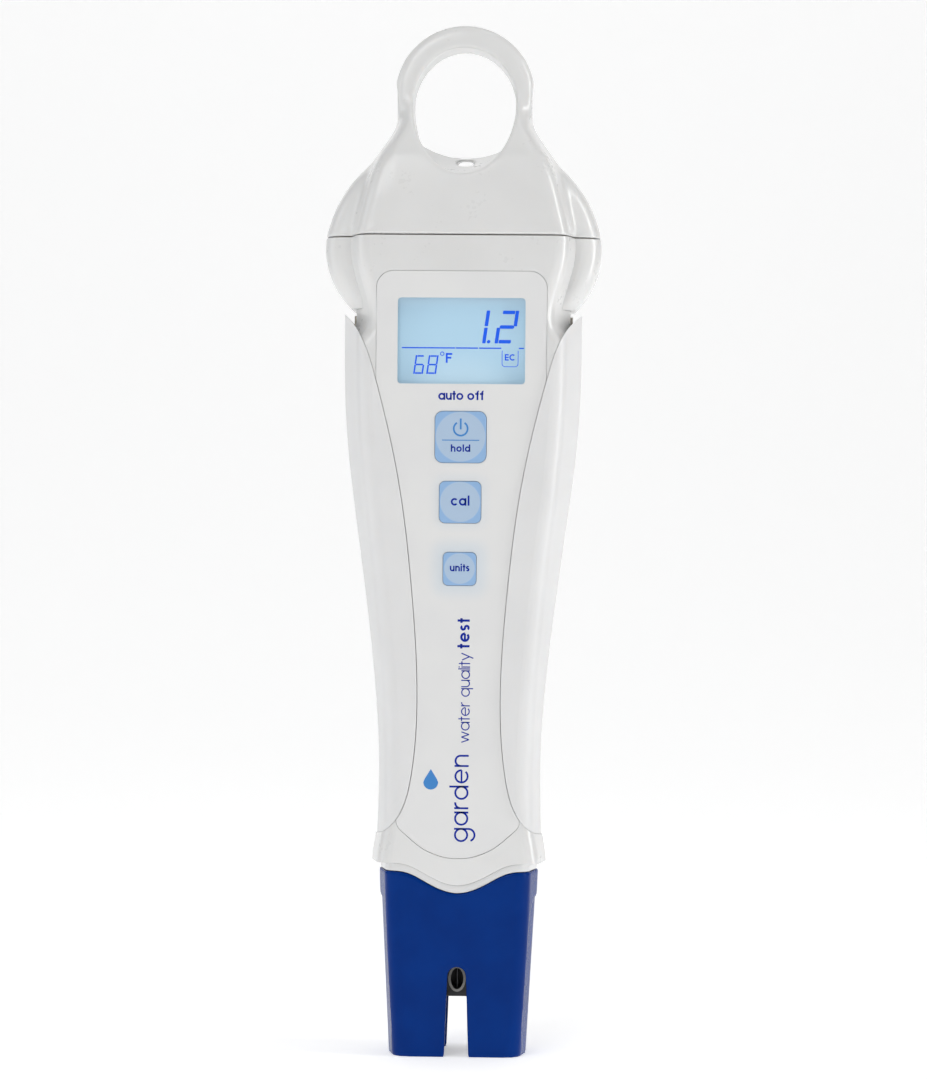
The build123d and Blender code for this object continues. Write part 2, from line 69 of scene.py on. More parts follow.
# ---- shader building -----------------------------------------------------------------------------
class Socket:
    """A shader value that Python's own operators can be used on."""

    def __init__(self, graph, link):
        self.graph = graph
        self.link = link

    def _maths(self, operation, *values):
        return self.graph.node("ShaderNodeMath", {"operation": operation}, dict(enumerate(values)))

    def __add__(self, other):
        return self._maths("ADD", self, other)

    def __sub__(self, other):
        return self._maths("SUBTRACT", self, other)

    def __mul__(self, other):
        return self._maths("MULTIPLY", self, other)

    def __truediv__(self, other):
        return self._maths("DIVIDE", self, other)

    def __pow__(self, other):
        return self._maths("POWER", self, other)

    def __rsub__(self, other):
        return self._maths("SUBTRACT", other, self)

    __radd__ = __add__
    __rmul__ = __mul__

    def between(self, start, end):
        """0 below start, 1 above end, smooth between; falls instead of rising if start is larger."""
        low_end, high_end = min(start, end), max(start, end)
        step = self.graph.node(
            "ShaderNodeMapRange", {"interpolation_type": "SMOOTHSTEP"},
            {"Value": self, "From Min": low_end, "From Max": high_end},
        )
        return step if start < end else 1 - step


class Graph:
    """The node tree of one new material."""

    def __init__(self, name):
        self.material = bpy.data.materials.new(name)
        self.material.use_nodes = True
        self.tree = self.material.node_tree
        self.tree.nodes.clear()
        self.place = self.node("ShaderNodeTexCoord", {}, {}, "Object")

    def node(self, kind, settings, values, output=0):
        made = self.tree.nodes.new(kind)
        for name, value in settings.items():
            setattr(made, name, value)
        for name, value in values.items():
            if isinstance(value, Socket):
                self.tree.links.new(value.link, made.inputs[name])
            else:
                made.inputs[name].default_value = value
        return made if output is None else Socket(self, made.outputs[output])

    def axis(self, name):
        """One coordinate of the place on the pen, in metres."""
        return self.node("ShaderNodeSeparateXYZ", {}, {"Vector": self.place}, name)

    def noise(self, size, detail=3.0, roughness=0.5):
        """Cloudy pattern whose blobs are about `size` metres across."""
        return self.node(
            "ShaderNodeTexNoise", {"noise_dimensions": "3D"},
            {"Vector": self.place, "Scale": 1.0 / size, "Detail": detail, "Roughness": roughness},
        )

    def blend(self, share, first, second):
        """Mix of two colours; share 0 gives the first."""
        return self.node(
            "ShaderNodeMix", {"data_type": "RGBA"}, {0: share, 6: first, 7: second}, 2,
        )

    def bump(self, height, distance, strength=1.0):
        return self.node("ShaderNodeBump", {}, {"Height": height, "Distance": distance, "Strength": strength})

    def finish(self, values):
        """Principled surface with these socket values, straight to the output."""
        surface = self.node("ShaderNodeBsdfPrincipled", {}, values)
        self.node("ShaderNodeOutputMaterial", {}, {"Surface": surface}, None)
        return self.material


def rgb(red, green, blue):
    """Linear colour from a painter's 0 to 255 values."""
    linear = [((v / 255 + 0.055) / 1.055) ** 2.4 if v > 10 else v / 3295 for v in (red, green, blue)]
    return (*linear, 1.0)


# ---- finishes ------------------------------------------------------------------------------------
def moulded_white(name, tint, roughness, grain, grain_height, coat):
    """Injection-moulded white plastic: faint flow clouds, fine surface grain, softly varied gloss."""
    g = Graph(name)
    clouds = g.noise(14 * MM, 2.0)
    colour = g.blend(clouds.between(0.35, 0.7), rgb(*tint), rgb(*[v - 3 for v in tint]))
    gloss = roughness + 0.05 * g.noise(6 * MM, 3.0) + 0.04 * g.noise(0.9 * MM, 2.0)
    skin = g.noise(grain, 2.0, 0.6) + 0.5 * g.noise(grain * 3.1, 2.0)
    normal = g.bump(skin, grain_height)
    return g.finish({
        "Base Color": colour, "Roughness": gloss, "Normal": normal,
        "Coat Weight": coat, "Coat Roughness": 0.18, "IOR": 1.5,
        "Subsurface Weight": 0.25, "Subsurface Radius": (1.0, 0.9, 0.8), "Subsurface Scale": 0.6 * MM,
    })


def key_film(name, height, disc_radius):
    """Printed key: blue corners, a paler disc in the middle and a soft edge between them."""
    g = Graph(name)
    across, up = g.axis("X"), g.axis("Z") - height
    distance = (across * across + up * up) ** 0.5
    disc = distance.between(disc_radius + 0.12 * MM, disc_radius - 0.12 * MM)
    speckle = g.noise(0.25 * MM, 2.0)
    corners = g.blend(speckle * 0.25, rgb(146, 184, 226), rgb(156, 191, 230))
    middle = g.blend(speckle * 0.25, rgb(176, 199, 224), rgb(182, 204, 227))
    inner, outer = disc_radius - 0.25 * MM, disc_radius + 0.25 * MM
    edge = distance.between(inner, disc_radius) - distance.between(disc_radius, outer)
    colour = g.blend(disc, corners, middle)
    colour = g.blend(edge * 0.12, colour, rgb(205, 222, 240))
    return g.finish({
        "Base Color": colour, "Roughness": 0.3 + 0.08 * g.noise(2 * MM),
        "Normal": g.bump(g.noise(0.12 * MM, 2.0), 0.004 * MM), "Coat Weight": 0.3, "Coat Roughness": 0.2,
    })


def label_film(name, halos):
    """Front film: white, with a pale blue printed glow round the lower keys."""
    g = Graph(name)
    glow = None
    for height, half, reach, strength in halos:
        across, up = g.axis("X"), g.axis("Z") - height
        distance = ((across ** 4.0) + (up ** 4.0)) ** 0.25
        ring = distance.between(half + reach, half) * strength
        glow = ring if glow is None else glow + ring
    clouds = g.noise(12 * MM, 2.0).between(0.35, 0.7)
    white = g.blend(clouds, rgb(232, 232, 231), rgb(229, 229, 229))
    colour = g.blend(glow, white, rgb(196, 214, 228))
    return g.finish({
        "Base Color": colour, "Roughness": 0.36 + 0.08 * g.noise(3 * MM) + 0.03 * g.noise(0.4 * MM),
        "Normal": g.bump(g.noise(0.3 * MM, 2.0, 0.6), 0.002 * MM), "Coat Weight": 0.15, "Coat Roughness": 0.3,
    })


def ink(name, colour, roughness=0.4, glow=0.0):
    """Screen-printed ink with a slightly uneven film."""
    g = Graph(name)
    patch = g.noise(0.5 * MM, 3.0)
    shade = g.blend(patch * 0.5, rgb(*colour), rgb(*[v + 6 for v in colour]))
    return g.finish({
        "Base Color": shade, "Emission Color": shade, "Emission Strength": glow,
        "Roughness": roughness + 0.1 * patch,
        "Normal": g.bump(g.noise(0.1 * MM, 2.0), 0.002 * MM), "Specular IOR Level": 0.15,
    })


def display_face(name):
    """Back-lit liquid crystal: pale blue, brighter in the middle, with a fine cell grid."""
    g = Graph(name)
    up = (g.axis("Z") - DISPLAY_Z) / DISPLAY_HALF[1]
    across = g.axis("X") / DISPLAY_HALF[0]
    fade = (across * across * 0.5 + up * up * 0.6).between(0.0, 1.1)
    grid = g.node("ShaderNodeTexWave", {"wave_type": "BANDS", "bands_direction": "Z"},
                  {"Vector": g.place, "Scale": 1 / (0.9 * MM), "Distortion": 0.0}, 1)
    colour = g.blend(fade, rgb(176, 206, 222), rgb(160, 188, 204))
    glow = (across * across + (up + 1.1) * (up + 1.1)).between(0.9, 0.0)
    colour = g.blend(glow * 0.7, colour, rgb(190, 214, 226))
    colour = g.blend(up.between(0.75, 1.0) * 0.3, colour, rgb(190, 206, 216))
    colour = g.blend(grid * 0.04, colour, rgb(120, 150, 180))
    return g.finish({
        "Base Color": colour, "Roughness": 0.22 + 0.05 * g.noise(2 * MM),
        "Normal": g.bump(g.noise(0.3 * MM), 0.002 * MM),
        "Emission Color": colour, "Emission Strength": 0.36,
    })


def clear_film(name):
    """Clear window: see-through, with a gloss that grows towards grazing angles."""
    g = Graph(name)
    see = g.node("ShaderNodeBsdfTransparent", {}, {"Color": (0.98, 0.99, 1.0, 1.0)})
    smooth = 0.06 + 0.04 * g.noise(5 * MM)
    gloss = g.node("ShaderNodeBsdfGlossy", {}, {"Color": (1, 1, 1, 1), "Roughness": smooth})
    edge_on = g.node("ShaderNodeLayerWeight", {}, {"Blend": 0.5}, "Facing")
    mirror = 0.04 + 0.96 * edge_on * edge_on * edge_on * edge_on * edge_on
    smear = 0.9 + 0.2 * g.noise(4 * MM)
    surface = g.node("ShaderNodeMixShader", {}, {0: mirror * smear, 1: see, 2: gloss})
    g.node("ShaderNodeOutputMaterial", {}, {"Surface": surface}, None)
    return g.material


def shroud_blue(name):
    """Deep blue polypropylene with a fine spark-eroded grain and sparse flecks of painted sheen."""
    g = Graph(name)
    clouds = g.noise(9 * MM, 3.0).between(0.3, 0.7)
    colour = g.blend(clouds, rgb(0, 46, 122), rgb(0, 51, 130))
    # sparse pale flecks in the shroud's highlight colour: painted sheen, not wear
    painted_sheen_flecks = g.noise(2.2 * MM, 6.0, 0.75).between(0.66, 0.8)
    colour = g.blend(painted_sheen_flecks * 0.12, colour, rgb(70, 100, 160))
    grain = g.noise(0.22 * MM, 3.0, 0.65)
    return g.finish({
        "Base Color": colour, "Roughness": 0.15 + 0.08 * g.noise(1.5 * MM) + 0.06 * grain,
        "Normal": g.bump(grain + 0.4 * g.noise(0.7 * MM), 0.012 * MM), "Specular IOR Level": 0.07,
    })


def plain_finish(name, colour, other, roughness, grain, height, metallic=0.0):
    """Working finish of an inner part: two close tones, a grain and a varied gloss."""
    g = Graph(name)
    patch = g.noise(grain * 6, 4.0).between(0.3, 0.72)
    fine = g.noise(grain, 3.0, 0.6)
    return g.finish({
        "Base Color": g.blend(patch, rgb(*colour), rgb(*other)), "Metallic": metallic,
        "Roughness": roughness + 0.12 * fine, "Normal": g.bump(fine, height),
    })


def drawn_steel(name):
    """Bright wire and sheet steel with fine lines along its length."""
    g = Graph(name)
    lines = g.node("ShaderNodeMapping", {}, {"Vector": g.place, "Scale": (9.0, 9.0, 0.6)})
    streaks = g.node("ShaderNodeTexNoise", {}, {"Vector": lines, "Scale": 1 / MM, "Detail": 3.0})
    return g.finish({
        "Base Color": g.blend(streaks, rgb(188, 190, 192), rgb(150, 152, 156)), "Metallic": 1.0,
        "Roughness": 0.22 + 0.18 * streaks, "Normal": g.bump(streaks, 0.01 * MM),
    })


def board_green(name):
    """Circuit board: solder mask over darker copper tracks."""
    g = Graph(name)
    tracks = g.node("ShaderNodeTexBrick", {"offset": 0.5},
                    {"Vector": g.place, "Scale": 1 / (9 * MM), "Mortar Size": 0.018}, 1)
    colour = g.blend(tracks, rgb(16, 92, 50), rgb(8, 64, 36))
    return g.finish({
        "Base Color": colour, "Roughness": 0.3 + 0.1 * g.noise(MM), "Normal": g.bump(tracks, 0.03 * MM),
    })


def cell_wrap(name):
    """Printed steel jacket of the cell, with a bare steel end."""
    g = Graph(name)
    across = g.axis("X")
    bare = across.between(14 * MM, 14.4 * MM)
    colour = g.blend(bare, rgb(42, 50, 58), rgb(176, 140, 84))
    return g.finish({
        "Base Color": colour, "Metallic": 0.35 + 0.3 * bare, "Roughness": 0.25 + 0.1 * g.noise(2 * MM),
        "Normal": g.bump(g.noise(0.4 * MM), 0.006 * MM),
    })


def paint(node, material):
    """Give a carried-over CAD node this finish."""
    mesh = nodes[node].data
    mesh.materials.clear()
    mesh.materials.append(material)


shell_white = moulded_white("shell_white", (230, 230, 229), 0.24, 0.5 * MM, 0.0015 * MM, 0.5)
grip_white = moulded_white("grip_white", (231, 231, 231), 0.34, 0.3 * MM, 0.003 * MM, 0.15)
label_halos = [
    (key_place("units_key")[0], key_place("units_key")[1], 3.6 * MM, 0.42),
    (key_place("cal_key")[0], key_place("cal_key")[1], 2.4 * MM, 0.2),
    (key_place("power_key")[0], key_place("power_key")[1], 1.2 * MM, 0.12),
]
label_white = label_film("label_white", label_halos)
navy_ink = ink("navy_ink", (14, 44, 156))
sky_ink = ink("sky_ink", (70, 136, 204))
segment_blue = ink("segment_blue", (10, 84, 214), 0.3, 0.45)
display_blue = display_face("display_blue")
window_clear = clear_film("window_clear")
guard_blue = shroud_blue("guard_blue")
black_plastic = plain_finish("black_plastic", (30, 30, 32), (44, 44, 46), 0.45, 0.3 * MM, 0.02 * MM)
graphite = plain_finish("graphite", (58, 58, 60), (84, 84, 86), 0.28, 0.2 * MM, 0.01 * MM, 0.7)
seal_grey = plain_finish("seal_grey", (214, 206, 192), (222, 215, 203), 0.6, 0.25 * MM, 0.02 * MM)
pale_plastic = plain_finish("pale_plastic", (150, 148, 142), (164, 162, 156), 0.4, 0.3 * MM, 0.01 * MM)
light_guide = plain_finish("light_guide", (214, 226, 238), (226, 236, 245), 0.25, 0.5 * MM, 0.01 * MM)
seal_rubber = plain_finish("seal_rubber", (46, 46, 48), (58, 58, 60), 0.6, 0.25 * MM, 0.02 * MM)
chip_black = plain_finish("chip_black", (26, 26, 28), (36, 36, 38), 0.5, 0.2 * MM, 0.02 * MM)
lead_red = plain_finish("lead_red", (140, 34, 30), (156, 44, 38), 0.45, 0.4 * MM, 0.01 * MM)
steel = drawn_steel("steel")
green_board = board_green("green_board")
jacket = cell_wrap("jacket")

FINISHES = {
    shell_white: ("front_housing", "rear_housing", "battery_cap", "probe_collar"),
    grip_white: ("left_grip", "right_grip"),
    label_white: ("front_label",),
    window_clear: ("display_window",),
    display_blue: ("lcd_glass",),
    guard_blue: ("shroud",),
    black_plastic: ("display_frame", "battery_tray", "probe_body"),
    pale_plastic: ("probe_rim",),
    light_guide: ("backlight_plate", "backlight_leds"),
    seal_rubber: ("contact_strips", "probe_seal"),
    seal_grey: ("cap_gasket", "housing_seal"),
    graphite: ("electrode_pins",),
    chip_black: ("control_chips",),
    lead_red: ("probe_leads",),
    steel: ("dome_switches", "board_screws", "spring_contact", "plate_contact", "temperature_sensor"),
    green_board: ("circuit_board",),
    jacket: ("battery_cell",),
}
for finish, painted in FINISHES.items():
    for node in painted:
        paint(node, finish)
DISC_SHARE = {"power_key": 0.96, "cal_key": 0.95, "units_key": 0.91}
for key, share in DISC_SHARE.items():
    middle, half = key_place(key)
    paint(key, key_film(key + "_print", middle, half * share))
for obj in nodes.values():
    for polygon in obj.data.polygons:
        polygon.use_smooth = True


# ---- softened copies of the cap and the shroud ---------------------------------------------------
def deselect():
    bpy.ops.object.select_all(action="DESELECT")


def softened(node, name, voxel, passes, material, body):
    """Copy of a CAD shape with its edges and creases rounded off, more in some places than in others."""
    deselect()
    copy = nodes[node].copy()
    copy.data = nodes[node].data.copy()
    copy.animation_data_clear()
    bpy.context.collection.objects.link(copy)
    copy.parent = None
    copy.matrix_world = Matrix.Identity(4)
    copy.name = name
    copy.data.name = name
    copy.select_set(True)
    bpy.context.view_layer.objects.active = copy
    bpy.ops.object.mode_set(mode="EDIT")
    bpy.ops.mesh.select_all(action="SELECT")
    bpy.ops.mesh.remove_doubles(threshold=1e-6)
    bpy.ops.object.mode_set(mode="OBJECT")
    skin = copy.modifiers.new("skin", "REMESH")
    skin.mode = "VOXEL"
    skin.voxel_size = voxel
    bpy.ops.object.modifier_apply(modifier=skin.name)
    for number, (rounds, inside) in enumerate(passes):
        group = copy.vertex_groups.new(name=f"soft_{number}")
        group.add([v.index for v in copy.data.vertices if inside(v.co)], 1.0, "REPLACE")
        soft = copy.modifiers.new(f"soft_{number}", "SMOOTH")
        soft.factor = 0.5
        soft.iterations = rounds
        soft.vertex_group = group.name
        bpy.ops.object.modifier_apply(modifier=soft.name)
    copy.vertex_groups.clear()
    bpy.ops.object.shade_smooth()
    copy.data.materials.clear()
    copy.data.materials.append(material)
    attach(copy, body)
    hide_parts(node)
    return copy


CAP_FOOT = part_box("battery_cap")[0].z
NECK_Z = 178 * MM


def above_seam(co):
    return co.z > CAP_FOOT + 0.5 * MM


def on_shoulder(co):
    """Outside of the cap where the neck, the wings and the front corners run into each other."""
    return abs(co.x) > 13 * MM and CAP_FOOT + 1.2 * MM < co.z < NECK_Z


def round_neck(co):
    """Where the neck runs into the ring."""
    return 9.5 * MM < abs(co.x) and NECK_Z - 8 * MM < co.z < NECK_Z + 10 * MM


softened("battery_cap", "soft_cap", 0.34 * MM,
         [(10, above_seam), (120, on_shoulder), (30, round_neck), (5, above_seam)],
         shell_white, "cap")
softened("shroud", "soft_shroud", 0.3 * MM, [(4, lambda co: True)], guard_blue, "guard")


# ---- web that closes the middle of the probe's measuring window -----------------------------------
def window_web():
    low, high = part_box("probe_rim")
    deselect()
    bpy.ops.mesh.primitive_cylinder_add(vertices=48, radius=1.0, depth=1.0, rotation=(math.radians(90), 0, 0))
    web = bpy.context.object
    web.name = "window_web"
    web.data.name = "window_web"
    web.location = (low + high) / 2
    bpy.ops.object.transform_apply(location=False, rotation=True, scale=False)
    web.scale = ((high.x - low.x) / 2 - 0.3 * MM, 1.6 * MM, (high.z - low.z) / 2 - 0.3 * MM)
    bpy.ops.object.transform_apply(location=True, rotation=False, scale=True)
    bpy.ops.object.mode_set(mode="EDIT")
    bpy.ops.mesh.select_all(action="SELECT")
    bpy.ops.mesh.bevel(offset=0.12 * MM, segments=3)
    bpy.ops.object.mode_set(mode="OBJECT")
    bpy.ops.object.shade_smooth_by_angle(angle=math.radians(40))
    web.data.materials.append(black_plastic)
    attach(web, "body")


window_web()


# ---- printed and liquid-crystal marks ------------------------------------------------------------
FACE_TILT = math.radians(90) + math.atan(FRONT_SLOPE)
INK_THICKNESS = 0.02 * MM
STROKE_STEP = 0.002 * MM                  # straight strokes stand this much above round ones
PRINT_LIFT = 0.012 * MM
KEY_LIFT = 0.13 * MM
DISPLAY_LIFT = -0.895 * MM
SLANT = math.tan(math.radians(8.0))       # lean of the liquid-crystal digits
UPRIGHT = math.radians(90)


def stroke(start, end, width, cut=0.0):
    """Flat straight stroke between two points, its corners cut by `cut`."""
    deselect()
    (x0, y0), (x1, y1) = start, end
    bpy.ops.mesh.primitive_plane_add(size=1.0)
    obj = bpy.context.object
    obj.dimensions = (math.hypot(x1 - x0, y1 - y0), width, 0)
    bpy.ops.object.transform_apply(location=False, rotation=False, scale=True)
    if cut:
        bpy.ops.object.mode_set(mode="EDIT")
        bpy.ops.mesh.select_all(action="SELECT")
        bpy.ops.mesh.bevel(offset=cut, affect="VERTICES", segments=2)
        bpy.ops.object.mode_set(mode="OBJECT")
    obj.location = ((x0 + x1) / 2, (y0 + y1) / 2, STROKE_STEP)
    obj.rotation_euler.z = math.atan2(y1 - y0, x1 - x0)
    return obj


def arc(centre, radius, width, start=0.0, end=360.0):
    """Flat round stroke about a centre, anticlockwise from one angle to another."""
    deselect()
    steps = max(8, int((end - start) / 7.5))
    bpy.ops.mesh.primitive_plane_add(size=1.0)
    obj = bpy.context.object
    obj.dimensions = (width, width, 0)
    bpy.ops.object.transform_apply(location=False, rotation=False, scale=True)
    bpy.ops.object.mode_set(mode="EDIT")
    bpy.ops.mesh.select_all(action="SELECT")
    bpy.ops.mesh.delete(type="ONLY_FACE")
    bpy.ops.mesh.select_all(action="SELECT")
    bpy.ops.mesh.merge(type="CENTER")
    bpy.ops.mesh.select_all(action="SELECT")
    bpy.ops.transform.translate(value=(radius - width / 2, 0, 0))
    bpy.ops.mesh.extrude_region_move(TRANSFORM_OT_translate={"value": (width, 0, 0)})
    bpy.ops.mesh.select_all(action="SELECT")
    bpy.ops.mesh.spin(steps=steps, angle=math.radians(end - start), center=(0, 0, 0), axis=(0, 0, -1))
    bpy.ops.mesh.select_all(action="SELECT")
    bpy.ops.mesh.remove_doubles(threshold=1e-8)
    bpy.ops.object.mode_set(mode="OBJECT")
    turned = Matrix.Rotation(math.radians(start), 4, "Z")
    obj.data.transform(Matrix.Translation((*centre, 0)) @ turned)
    return obj


def dot(centre, radius):
    """Flat round dot."""
    deselect()
    bpy.ops.mesh.primitive_circle_add(vertices=24, radius=radius, fill_type="NGON", location=(*centre, 0))
    return bpy.context.object


def joined(shapes):
    """One mesh from flat shapes, all facing up."""
    deselect()
    for shape in shapes:
        shape.select_set(True)
    bpy.context.view_layer.objects.active = shapes[0]
    bpy.ops.object.transform_apply(location=True, rotation=True, scale=True)
    if len(shapes) > 1:
        bpy.ops.object.join()
    obj = bpy.context.object
    for polygon in obj.data.polygons:
        if polygon.normal.z < 0:
            polygon.flip()
    return obj


def mark(name, shapes, place, lift, material, body, slot, turn=0.0, slant=0.0):
    """Thin raised mark on the front face, centred on `place`, riding on its body."""
    x, z = place
    obj = joined(shapes)
    obj.name = name
    obj.data.name = name
    obj.data.transform(Matrix(((1, slant, 0, 0), (0, 1, 0, 0), (0, 0, 1, 0), (0, 0, 0, 1))))
    film = obj.modifiers.new("film", "SOLIDIFY")
    film.thickness = INK_THICKNESS
    film.offset = -1.0
    bpy.ops.object.modifier_apply(modifier=film.name)
    stand = Matrix.Translation((x, face_y(z) - lift, z)) @ Matrix.Rotation(FACE_TILT, 4, "X")
    obj.data.transform(stand @ Matrix.Rotation(turn, 4, "Z"))
    obj.data.materials.clear()
    obj.data.materials.append(material)
    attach(obj, body)
    return obj


# Round letters with an x-height of 1. Each function takes the stroke's width and gives its width and shapes.
ASCENDER = 1.36
NARROW = 0.86


def bowl(w, start=0.0, end=360.0):
    return arc((0.5, 0.5), 0.5 - w / 2, w, start, end)


def stem(x, low, high, w):
    return stroke((x, low), (x, high), w)


def arch(w, width, low_end=False):
    """Half ring at the top or, turned over, at the foot, with its two legs."""
    radius = width / 2 - w / 2
    height = radius + w / 2 if low_end else 1 - radius - w / 2
    half = arc((width / 2, height), radius, w, *((180, 360) if low_end else (0, 180)))
    legs = (height, 1.0) if low_end else (0.0, height)
    return [half, stem(w / 2, *legs, w), stem(width - w / 2, *legs, w)]


def letter(figure, w):
    """Width and flat shapes of one small letter."""
    right, low, tip = 1 - w / 2, w / 2, 1 - w / 2
    if figure == "a":
        return 1.0, [bowl(w), stem(right, 0, 1, w)]
    if figure == "c":
        return 0.92, [bowl(w, 42, 318)]
    if figure == "d":
        return 1.0, [bowl(w), stem(right, 0, ASCENDER, w)]
    if figure == "e":
        return 1.0, [bowl(w, 0, 318), stroke((w, 0.5), (1 - w / 2, 0.5), w * 0.9)]
    if figure == "f":
        hook = arc((0.58, ASCENDER - 0.32), 0.32 - w / 2, w, 90, 180)
        return 0.6, [stem(0.26 + w / 2, 0, ASCENDER - 0.32, w), hook, stroke((0.06, tip), (0.56, tip), w)]
    if figure == "g":
        tail = arc((0.5, -0.02), 0.5 - w / 2, w, 200, 360)
        return 1.0, [bowl(w), stem(right, -0.02, 1, w), tail]
    if figure == "h":
        return NARROW, arch(w, NARROW) + [stem(w / 2, 0.5, ASCENDER, w)]
    if figure == "i":
        return w, [stem(w / 2, 0, 1, w), dot((w / 2, 1.25), w * 0.6)]
    if figure == "l":
        return w, [stem(w / 2, 0, ASCENDER, w)]
    if figure == "n":
        return NARROW, arch(w, NARROW) + [stem(w / 2, 0.5, 1, w)]
    if figure == "o":
        return 1.0, [bowl(w)]
    if figure == "q":
        return 1.0, [bowl(w), stem(right, 1 - ASCENDER, 1, w)]
    if figure == "r":
        return 0.5, [stem(w / 2, 0, 1, w), arc((0.45, 0.55), 0.45 - w / 2, w, 85, 170)]
    if figure == "s":
        loop = (1 - w) / 4
        top = arc((0.3, tip - loop), loop, w, 30, 270)
        return 0.6, [top, arc((0.3, low + loop), loop, w, -150, 90)]
    if figure == "t":
        return 0.5, [stem(0.25, 0, ASCENDER * 0.95, w), stroke((0, tip), (0.5, tip), w)]
    if figure == "u":
        return NARROW, arch(w, NARROW, low_end=True) + [stem(NARROW - w / 2, 0, 0.5, w)]
    if figure == "w":
        xs = [w / 2, 0.36, 0.66, 0.96, 1.32 - w / 2]
        ends = [(x, tip if i % 2 == 0 else low) for i, x in enumerate(xs)]
        return 1.32, [stroke(a, b, w * 0.95, w * 0.2) for a, b in zip(ends, ends[1:])]
    if figure == "y":
        return 0.88, [stroke((low, tip), (0.44, low), w, w * 0.2), stroke((0.84, 1), (0.26, 1 - ASCENDER), w)]
    return 0.42, []


def lettering(name, words, x_height, weight, length, place, lift, material, body, slot, turn=0.0):
    """Round lettering of a given x-height, spaced out to a given length and centred on `place`."""
    w = weight / x_height
    glyphs = [letter(figure, w) for figure in words]
    gap = (length / x_height - sum(width for width, _ in glyphs)) / (len(glyphs) - 1)
    shapes, x = [], -length / x_height / 2
    for width, strokes in glyphs:
        for obj in strokes:
            obj.location.x += x
            shapes.append(obj)
        x += width + gap
    for obj in shapes:
        obj.location *= x_height
        obj.location.y -= x_height / 2
        obj.scale = (x_height, x_height, 1)
    return mark(name, shapes, place, lift, material, body, slot, turn)


# which bars are lit: top, upper right, lower right, bottom, lower left, upper left, middle
LIT = {"1": "0110000", "2": "1101101", "6": "1011111", "8": "1111111"}


def digit(figure, place, width, height, w):
    """Bars of one seven-bar digit, centred on `place`."""
    x, y = place
    side, half = width / 2 - w / 2, height / 2 - w / 2
    ends = w * 0.62
    bars = [
        ((-side + ends, half), (side - ends, half)), ((side, w * 0.2), (side, half + w / 2)),
        ((side, -half - w / 2), (side, -w * 0.2)), ((-side + ends, -half), (side - ends, -half)),
        ((-side, -half - w / 2), (-side, -w * 0.2)), ((-side, w * 0.2), (-side, half + w / 2)),
        ((-side + w * 0.25, 0), (side - w * 0.25, 0)),
    ]
    return [
        stroke((x + a[0], y + a[1]), (x + b[0], y + b[1]), w, w * (0.42 if i == 6 else 0.2))
        for i, ((a, b), on) in enumerate(zip(bars, LIT[figure])) if on == "1"
    ]


def on_display(name, shapes, slant=0.0, place=(0.0, DISPLAY_Z)):
    return mark(name, shapes, place, DISPLAY_LIFT, segment_blue, "body", "display", slant=slant)


READING_SIZE = (3.75 * MM, 6.15 * MM, 0.66 * MM)            # width, height and width of a bar
WARMTH_SIZE = (1.85 * MM, 3.5 * MM, 0.3 * MM)
reading = digit("1", (2.67 * MM, 2.67 * MM), *READING_SIZE)
reading += digit("2", (8.1 * MM, 2.67 * MM), *READING_SIZE)
reading += [dot((5.08 * MM, -0.1 * MM), 0.33 * MM)]
on_display("reading_segments", reading, SLANT)
warmth = digit("6", (-7.25 * MM, -4.45 * MM), *WARMTH_SIZE)
warmth += digit("8", (-4.8 * MM, -4.45 * MM), *WARMTH_SIZE)
on_display("temperature_segments", warmth, SLANT)

RULE_Y = -1.31 * MM
RULE_WEIGHT = 0.24 * MM
UNIT_BOX = (9.12 * MM, 1.5 * MM, -1.75 * MM, -4.75 * MM)    # middle, half width, top and foot
BOX_CORNER = 0.6 * MM
BOX_WEIGHT = 0.13 * MM
box_x, box_half, box_top, box_foot = UNIT_BOX
rules = [
    stroke((a * MM, RULE_Y), (b * MM, RULE_Y), RULE_WEIGHT)
    for a, b in ((-11.2, -1.2), (-1.06, 3.08), (3.3, 7.47), (10.75, 11.7))
]
for side, angles in ((-1, (180, 270)), (1, (270, 360))):
    edge = box_x + side * box_half
    turn_middle = (edge - side * BOX_CORNER, box_foot + BOX_CORNER)
    rules.append(stroke((edge, box_foot + BOX_CORNER), (edge, box_top), BOX_WEIGHT))
    rules.append(arc(turn_middle, BOX_CORNER, BOX_WEIGHT, *angles))
inner_half = box_half - BOX_CORNER
rules.append(stroke((box_x - inner_half, box_foot), (box_x + inner_half, box_foot), BOX_WEIGHT))
rules.append(arc((-3.6 * MM, -2.4 * MM), 0.33 * MM, 0.15 * MM))
on_display("display_rules", rules)


def capitals_ec(height, w):
    """Capital E and C, from their left foot."""
    bars = [stroke((0, y), (height * 0.62, y), w) for y in (w / 2, height / 2, height - w / 2)]
    bars.append(stroke((w / 2, 0), (w / 2, height), w))
    bars.append(arc((height * 1.22, height / 2), height / 2 - w / 2, w, 48, 312))
    return bars


def capital_f(height, w):
    """Capital F, from its left foot."""
    bars = [stroke((0, y), (height * x, y), w) for x, y in ((0.56, height * 0.52), (0.66, height - w / 2))]
    bars.append(stroke((w / 2, 0), (w / 2, height), w))
    return bars


on_display("unit_sign", capitals_ec(1.2 * MM, 0.24 * MM), place=(8.12 * MM, DISPLAY_Z - 3.6 * MM))
on_display("degree_letter", capital_f(1.85 * MM, 0.36 * MM), place=(-2.93 * MM, DISPLAY_Z - 4.1 * MM))

